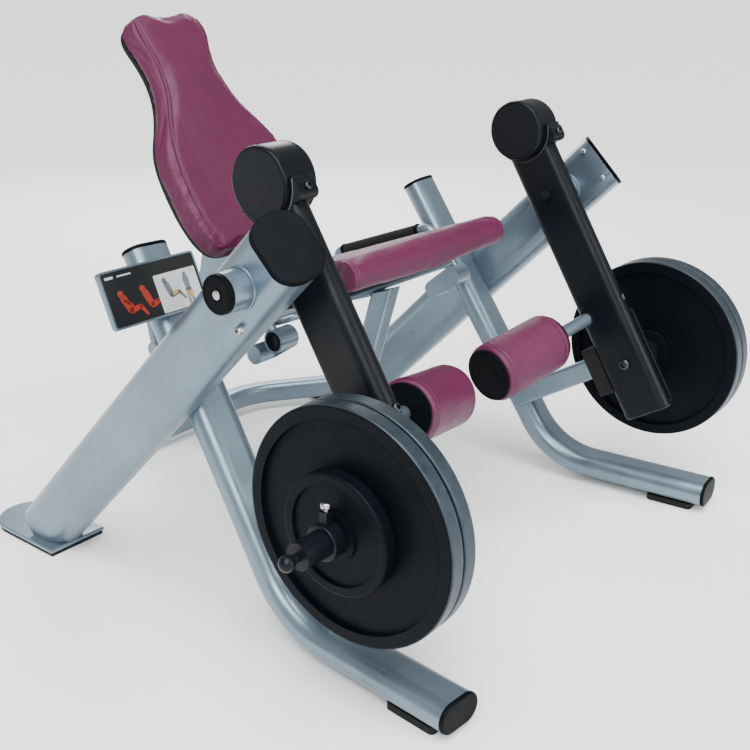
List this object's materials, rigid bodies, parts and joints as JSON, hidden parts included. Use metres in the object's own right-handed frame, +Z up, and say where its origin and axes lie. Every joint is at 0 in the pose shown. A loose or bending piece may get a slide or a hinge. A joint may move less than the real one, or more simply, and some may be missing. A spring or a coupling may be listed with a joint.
{
  "type": "leg extension machine",
  "caption": "Plate-loaded leg extension machine with a reclined padded seat, side handles and independent swinging arms that carry shin rollers, counterweights and weight plates.",
  "frame": {"origin": "on the floor, under the middle of the machine's bounding box", "axes": "+X to the user's left, +Y behind the seated user, +Z up"},
  "size_m": [1.58, 1.4367, 1.1812],
  "materials": {
    "frame_paint": "satin silver powder coat",
    "arm_paint": "satin black powder coat",
    "black_plastic": "fine moulded texture",
    "black_board": "fine moulded texture",
    "rubber": "matte",
    "foam_grip": "matte cellular foam",
    "upholstery": "soft grain, satin",
    "plate_iron": "hammered enamel",
    "bright_steel": "polished",
    "bolt_steel": "black oxide",
    "placard_print": "printed sheet"
  },
  "bodies": {
    "frame": {"back_board": "black_board", "back_bracket": "frame_paint", "back_pad": "upholstery", "beam_caps": "black_plastic", "bracket_plates": "frame_paint", "centre_post": "frame_paint", "floor_plates": "frame_paint", "floor_rubbers": "rubber", "foot_caps": "black_plastic", "foot_pads": "rubber", "frame_bolts": "bolt_steel", "front_leg_left": "frame_paint", "front_leg_right": "frame_paint", "grip_left": "foam_grip", "grip_right": "foam_grip", "handle_left": "frame_paint", "handle_right": "frame_paint", "leg_top_caps": "black_plastic", "pivot_bearings": "bright_steel", "pivot_caps": "black_plastic", "pivot_housings": "frame_paint", "placard_bracket": "frame_paint", "placard_face": "placard_print", "placard_tray": "frame_paint", "rear_cross_tube": "frame_paint", "rear_upright": "frame_paint", "seat_board": "black_board", "seat_frame": "frame_paint", "seat_pad": "upholstery", "seat_rail": "frame_paint", "side_beam_left": "frame_paint", "side_beam_right": "frame_paint", "stop_bracket_left": "frame_paint", "stop_bracket_right": "frame_paint", "stop_bumpers": "rubber"},
    "arm_right": {"lever_arm_right": "arm_paint", "counterweight_right": "arm_paint", "counterweight_caps_right": "arm_paint", "arm_bolts_right": "bolt_steel", "pivot_shaft_right": "arm_paint", "roller_shaft_right": "frame_paint", "weight_horn_right": "arm_paint"},
    "roller_right": {"roller_pad_right": "upholstery", "roller_core_right": "black_plastic"},
    "plates_right": {"large_plates_right": "plate_iron", "small_plate_right": "plate_iron", "collar_right": "arm_paint"},
    "arm_left": {"lever_arm_left": "arm_paint", "counterweight_left": "arm_paint", "counterweight_caps_left": "arm_paint", "arm_bolts_left": "bolt_steel", "pivot_shaft_left": "arm_paint", "roller_shaft_left": "frame_paint", "weight_horn_left": "arm_paint"},
    "roller_left": {"roller_pad_left": "upholstery", "roller_core_left": "black_plastic"},
    "plates_left": {"large_plates_left": "plate_iron", "small_plate_left": "plate_iron", "collar_left": "arm_paint"}
  },
  "joints": [
    {"name": "arm_right", "type": "hinge", "parent": "frame", "child": "arm_right", "pos_m": [0, -0.246, 0.76], "axis": [-1, 0, 0], "range_deg": [0, 75]},
    {"name": "roller_right", "type": "hinge", "parent": "arm_right", "child": "roller_right", "pos_m": [-0.082, -0.324, 0.413], "axis": [-0.9723, -0.1653, 0.1653], "continuous": true},
    {"name": "plates_right", "type": "slide", "parent": "arm_right", "child": "plates_right", "axis": [-1, 0, 0], "range_m": [0, 0.055]},
    {"name": "arm_left", "type": "hinge", "parent": "frame", "child": "arm_left", "pos_m": [0, -0.246, 0.76], "axis": [-1, 0, 0], "range_deg": [0, 75]},
    {"name": "roller_left", "type": "hinge", "parent": "arm_left", "child": "roller_left", "pos_m": [0.082, -0.324, 0.413], "axis": [0.9723, -0.1653, 0.1653], "continuous": true},
    {"name": "plates_left", "type": "slide", "parent": "arm_left", "child": "plates_left", "axis": [1, 0, 0], "range_m": [0, 0.055]}
  ]
}
